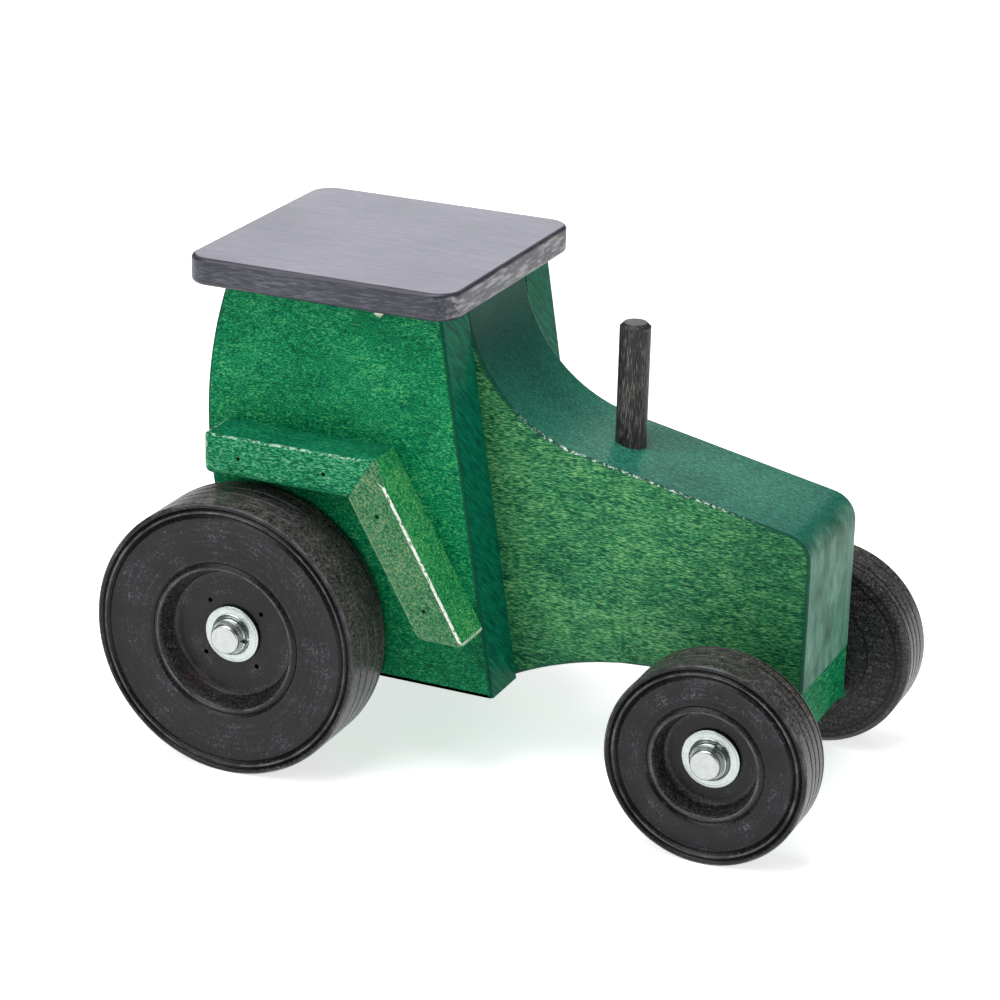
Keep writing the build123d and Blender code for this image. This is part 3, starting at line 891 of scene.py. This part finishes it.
def make_mudguard(side_name, side):
    """A level bar and a sloping bar that meet in a mitre, whose outer corner is sanded off."""
    level_node, sloping_node = (f"mudguard_{part}_{side_name}" for part in ("level", "sloping"))
    low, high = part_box(level_node)
    foot_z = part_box(sloping_node)[0].z
    outer_y = high.y if side > 0 else low.y
    up, out = Vector((0, 0, 1)), Vector((0, side, 0))
    across = Vector((cos(guard_slope), 0, sin(guard_slope)))
    along = Vector((sin(guard_slope), 0, -cos(guard_slope)))
    corner = Vector((high.x, outer_y, high.z))
    inner_x = (corner.dot(across) - guard_t - low.z * across.z) / across.x
    seam = corner - Vector((inner_x, outer_y, low.z))
    mitre = Vector((seam.z, 0, -seam.x)).normalized()
    sanding = (mitre * 0.2 + across.lerp(up, 0.5).normalized() + out).normalized()

    level = box_piece(f"mudguard_level_bar_{side_name}", low, high)
    cut_off(level, corner, mitre)

    length = (corner.z - foot_z) / cos(guard_slope) + guard_t
    middle = corner - across * guard_t / 2 + along * length / 2
    middle.y = (low.y + high.y) / 2
    deselect()
    bpy.ops.mesh.primitive_cube_add(size=1, location=middle, rotation=(0, -guard_slope, 0))
    bpy.context.object.scale = (guard_t, high.y - low.y, length + 2 * guard_t)
    sloping = started(f"mudguard_sloping_bar_{side_name}")
    cut_off(sloping, corner, -mitre)
    cut_off(sloping, (0, 0, foot_z), -up)

    def past_mitre(at):
        return (at - corner).dot(mitre)

    def level_weight(middle, run):
        """The lower edge is round, the free end softer, and the top edge nearly sharp."""
        on_inside = abs(middle.y - outer_y) > HAIR and middle.x > low.x + HAIR
        if on_inside or abs(past_mitre(middle)) < HAIR:
            return 0.0
        if middle.z < low.z + HAIR:
            return 1.0
        return 0.3 if middle.z > high.z - HAIR else 0.7

    def sloping_weight(middle, run):
        """The foot is round, the lower edge softer, and the top edge nearly sharp."""
        on_inside = abs(middle.y - outer_y) > HAIR and middle.z > foot_z + HAIR
        if on_inside or abs(past_mitre(middle)) < HAIR:
            return 0.0
        if middle.z < foot_z + HAIR:
            return 1.0
        return 0.3 if abs((middle - corner).dot(across)) < HAIR else 0.5

    bars = ((level, level_node, level_weight, level_wood),
            (sloping, sloping_node, sloping_weight, sloping_wood))
    for bar, node, weight, wood in bars:
        ease_edges(bar, guard_round, weight, segments=5)
        cut_off(bar, corner - sanding * guard_sanding, sanding)
        brads = [at for at in brad_places(side) if in_box(at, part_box(node))]
        holes = [(at.x, at.z) for at in brads if (past_mitre(at) < 0) == (bar is level)]
        drill(bar, holes, brad_hole_r, (outer_y - side * 2.5 * MM, outer_y + side * MM))
        smooth(bar, 30)
        seat(bar, "body", [node], wood)


def in_box(at, box):
    low, high = box
    return low.x < at.x < high.x and low.z < at.z < high.z


def brad_places(side, reach=3 * MM):
    """The middles, seen from the side, of one side's brads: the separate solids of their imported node."""
    brads = []
    for vertex in frame["nodes"]["mudguard_brads"].data.vertices:
        if vertex.co.y * side < 0:
            continue
        at = Vector((vertex.co.x, 0, vertex.co.z))
        near = [brad for brad in brads if (at - brad[0]).length < reach]
        if near:
            near[0].append(at)
        else:
            brads.append([at])
    return [sum(brad, Vector()) / len(brad) for brad in brads]


# ---- wheels, rods and caps ----
def turn_piece(name, hub, side, stations, segments=144):
    """Turn a closed ring on the axle: one circle, extruded to each (radius, distance out) in turn.

    The stations are in millimetres from the hub."""
    stations = [(radius * MM, out * MM) for radius, out in stations]
    radius, out = stations[0]
    deselect()
    bpy.ops.mesh.primitive_circle_add(
        vertices=segments, radius=radius, location=(hub.x, hub.y + side * out, hub.z), rotation=(pi / 2, 0, 0)
    )
    piece = started(name)
    bpy.ops.object.mode_set(mode="EDIT")
    bpy.ops.mesh.select_mode(type="VERT")
    bpy.ops.mesh.select_all(action="SELECT")
    for (r0, out0), (r1, out1) in zip(stations, stations[1:] + stations[:1]):
        bpy.ops.mesh.extrude_region_move(TRANSFORM_OT_translate={"value": (0, side * (out1 - out0), 0)})
        centre = (hub.x, hub.y + side * out1, hub.z)
        bpy.ops.transform.resize(value=(r1 / r0, 1, r1 / r0), center_override=centre)
    bpy.ops.object.mode_set(mode="OBJECT")
    tidy_mesh(piece)
    return piece


def dip(radius, half, depth, out, steps=6):
    """A soft groove in a face, from its outer lip inwards."""
    points = []
    for i in range(steps + 1):
        s = -1 + 2 * i / steps
        points.append((radius - half * s, out - depth * (1 + cos(pi * s)) / 2))
    return points


def slope_down(start, end, steps):
    """A turned slope that eases out of one level and into the next."""
    points = []
    for i in range(1, steps + 1):
        s = i / steps
        rise = (1 - cos(pi * s)) / 2
        points.append((start[0] + (end[0] - start[0]) * s, start[1] + (end[1] - start[1]) * rise))
    return points


def tread_cut(r, at):
    """A narrow cut across the tread, with sloping lips."""
    half = ((-0.5, 0), (-0.34, 0.1), (-0.1, 0.55))
    return [(r - depth, at + step) for step, depth in half + tuple((-s, d) for s, d in half[::-1])]


def wheel_stations(r, w, bead_r, floor_r, recess, cuts):
    """(radius, distance out) round a wheel of radius r and width w, all in millimetres."""
    bore_r = wheel_bore_r
    inner_face = [(bore_r, 0.5), (bore_r + 0.5, 0), (floor_r, 0), (r - 2.3, 0)]
    shoulder = [(r - 1.9, 0.15), (r - 0.45, 1.5), (r - 0.1, 1.95), (r, 2.5)]
    tread = [point for cut in cuts for point in tread_cut(r, w - cut)]
    rim = [(r, w - 0.75), (r - 0.12, w - 0.35), (r - 0.4, w - 0.1), (r - 0.8, w)]
    rim += dip(r - rim_grooves[0], 0.75, 0.75, w) + dip(r - rim_grooves[1], 0.95, 0.85, w)

    face_out = w - 0.15
    face_from, face_to, steps = r - 5.2, bead_r + 1.6, 8
    face = []
    for i in range(1, steps):
        s = i / steps
        face.append((face_from + (face_to - face_from) * s, face_out - 0.35 * sin(pi * s)))
    bead = dip(bead_r + bead_groove, 1.0, 0.7, face_out)
    crest = (bead_r - 1.3, face_out - 0.1)
    bead += slope_down(bead[-1], crest, 3)

    floor_out = w - recess
    wall = slope_down(crest, (floor_r + 0.4, floor_out + 0.25), 12)
    floor = [(floor_r, floor_out), (floor_r - 1, floor_out), (bore_r + 4.8, floor_out)]
    floor += [(bore_r + 0.4, floor_out), (bore_r, floor_out - 0.4)]
    return inner_face + shoulder + tread + rim + face + bead + wall + floor


def make_wheels(end):
    low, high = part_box(f"{end}_wheel_right")
    hub = Vector((axle[end].x, high.y, axle[end].z))
    stations = wheel_stations((high.z - low.z) / 2 / MM, (high.y - low.y) / MM, **wheel_shapes[end])
    right = turn_piece(f"{end}_wheel_turned_right", hub, -1, stations)
    if end == "rear":
        floor_y = low.y + wheel_shapes[end]["recess"] * MM
        bearings = [radians(40 + 90 * i) for i in range(4)]
        holes = [(hub.x + pin_circle_r * cos(a), hub.z + pin_circle_r * sin(a)) for a in bearings]
        drill(right, holes, pin_hole_r, (floor_y - MM, floor_y + 3 * MM), 14)
    smooth(right, 40)
    left = opposite(right, hub, f"{end}_wheel_turned_left")
    for side_name, wheel in (("right", right), ("left", left)):
        node = f"{end}_wheel_{side_name}"
        seat(wheel, node, [node], wheel_woods[end])


def make_rod(end):
    low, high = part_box(f"{end}_axle")
    deselect()
    bpy.ops.mesh.primitive_cylinder_add(
        vertices=72, radius=(high.z - low.z) / 2, depth=high.y - low.y, location=axle[end],
        rotation=(pi / 2, 0, 0),
    )
    rod = started(f"{end}_axle_rod")
    ease_edges(rod, 0.85 * MM, lambda middle, along: 1.0, segments=3)
    smooth(rod, 40)
    seat(rod, "body", [f"{end}_axle"], rod_steel)


def make_caps(end):
    """A push-on cap: flat flange, a collar with one gap in it, and a lip on the rod."""
    low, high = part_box(f"{end}_axle_cap_right")
    rod_low, rod_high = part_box(f"{end}_axle")
    hub = Vector((axle[end].x, high.y, axle[end].z))
    flange_r = (high.z - low.z) / 2 / MM
    bore_r = (rod_high.z - rod_low.z) / 2 / MM + 0.03
    flange = [(bore_r, 0), (flange_r - 0.25, 0), (flange_r, 0.25), (flange_r, 0.6)]
    flange += [(flange_r - 0.12, 0.85), (flange_r - 0.4, 1.0), (8.9, 1.0), (8.7, 0.93), (8.5, 1.0)]
    collar = [(7.3, 1.0), (6.9, 1.1), (6.6, 1.35), (6.45, 1.75), (6.35, 2.4)]
    lip = [(6.2, 3.0), (6.0, 3.25), (5.75, 3.4), (5.5, 3.3), (bore_r, 3.2)]
    right = turn_piece(f"{end}_cap_right", hub, -1, flange + collar + lip, 96)
    press_gap(right, hub, radians({"rear": -3, "front": 62}[end]))
    smooth(right, 32)
    left = opposite(right, hub, f"{end}_cap_left")
    for side_name, cap in (("right", right), ("left", left)):
        seat(cap, "body", [f"{end}_axle_cap_{side_name}"], cap_zinc)


def press_gap(cap, hub, bearing):
    """Press a narrow sector of the collar down on the flange, which leaves a gap in it."""
    collar_r, half_w, flange_top = 7.6 * MM, 0.7 * MM, 1.02 * MM
    toward = Vector((cos(bearing), 0, sin(bearing)))

    def in_gap(vertex):
        arm = vertex.co - hub
        flat = Vector((arm.x, 0, arm.z))
        beside = abs(flat.cross(toward).y)
        return -arm.y > flange_top and flat.dot(toward) > 0 and beside < half_w and flat.length < collar_r

    take(cap)
    pick(cap, "vertices", in_gap)
    bpy.ops.object.mode_set(mode="EDIT")
    bpy.ops.mesh.select_mode(type="VERT")
    bpy.ops.transform.resize(value=(1, 0.22, 1), center_override=(hub.x, hub.y - flange_top, hub.z))
    bpy.ops.object.mode_set(mode="OBJECT")


# ---- the tractor ----
make_core()
for side_name, side in sides.items():
    make_panel(side_name, side)
make_roof()
make_exhaust()
make_beam()
for side_name, side in sides.items():
    make_mudguard(side_name, side)
for end in ("rear", "front"):
    make_wheels(end)
    make_rod(end)
    make_caps(end)
for node in ("panel_dowels", "roof_dowels", "beam_dowels"):
    stain_node(node, dowel_wood)
stain_node("mudguard_brads", brad_steel)


# ---- camera, light and floor ----
def aim_camera():
    """A long lens held above the tractor's right front quarter, rolled by a degree and a half."""
    azimuth, elevation, roll = radians(23.56), radians(20.73), radians(1.5)
    target = Vector((-8.66, 0, 82.75)) * MM
    distance = 1073.1 * MM
    back = Vector((sin(azimuth) * cos(elevation), -cos(azimuth) * cos(elevation), sin(elevation)))
    level = Vector((cos(azimuth), sin(azimuth), 0))
    upright = back.cross(level)
    right = level * cos(roll) + upright * sin(roll)
    up = upright * cos(roll) - level * sin(roll)
    bpy.ops.object.camera_add(location=target + back * distance)
    camera = bpy.context.object
    camera.rotation_euler = Matrix((right, up, back)).transposed().to_euler()
    camera.data.sensor_width = 36
    camera.data.lens = 119.0
    bpy.context.scene.camera = camera


def softbox(name, azimuth, elevation, distance, size, power):
    """A square light that looks at the tractor from a bearing (0 is ahead, 90 its left)."""
    a, e = radians(azimuth), radians(elevation)
    away = Vector((cos(a) * cos(e), sin(a) * cos(e), sin(e)))
    bpy.ops.object.light_add(type="AREA", location=away * distance + Vector((0, 0, 0.08)))
    lamp = bpy.context.object
    lamp.name = name
    lamp.rotation_euler = away.to_track_quat("Z", "Y").to_euler()
    lamp.data.shape = "SQUARE"
    lamp.data.size = size
    lamp.data.energy = power
    lamp.visible_camera = False


def light_room():
    """A dim room: a tent of softboxes lights the tractor, and the camera sees plain white."""
    world = bpy.data.worlds.new("studio")
    bpy.context.scene.world = world
    world.use_nodes = True
    nodes, links = world.node_tree.nodes, world.node_tree.links
    ray = nodes.new("ShaderNodeLightPath")
    strength = nodes.new("ShaderNodeMapRange")
    links.new(ray.outputs["Is Camera Ray"], strength.inputs["Value"])
    strength.inputs["To Min"].default_value = 0.2
    strength.inputs["To Max"].default_value = 0.85
    links.new(strength.outputs["Result"], nodes["Background"].inputs["Strength"])
    nodes["Background"].inputs["Color"].default_value = (1, 1, 1, 1)
    softbox("overhead", -110, 74, 1.4, 1.0, 17)
    softbox("front", -118, 30, 1.6, 0.9, 10)
    softbox("ahead", -6, 12, 1.6, 0.7, 6)
    softbox("behind", 112, 22, 1.6, 0.8, 4)


def lay_floor():
    bpy.ops.mesh.primitive_plane_add(size=12)
    floor = bpy.context.object
    floor.name = "floor"
    white = bpy.data.materials.new("floor_white")
    white.use_nodes = True
    shader = white.node_tree.nodes["Principled BSDF"]
    shader.inputs["Base Color"].default_value = (0.93, 0.93, 0.93, 1)
    shader.inputs["Roughness"].default_value = 0.9
    shader.inputs["Emission Color"].default_value = (1, 1, 1, 1)
    shader.inputs["Emission Strength"].default_value = 0.65
    floor.data.materials.append(white)


aim_camera()
light_room()
lay_floor()
bpy.context.scene.view_settings.view_transform = "Standard"
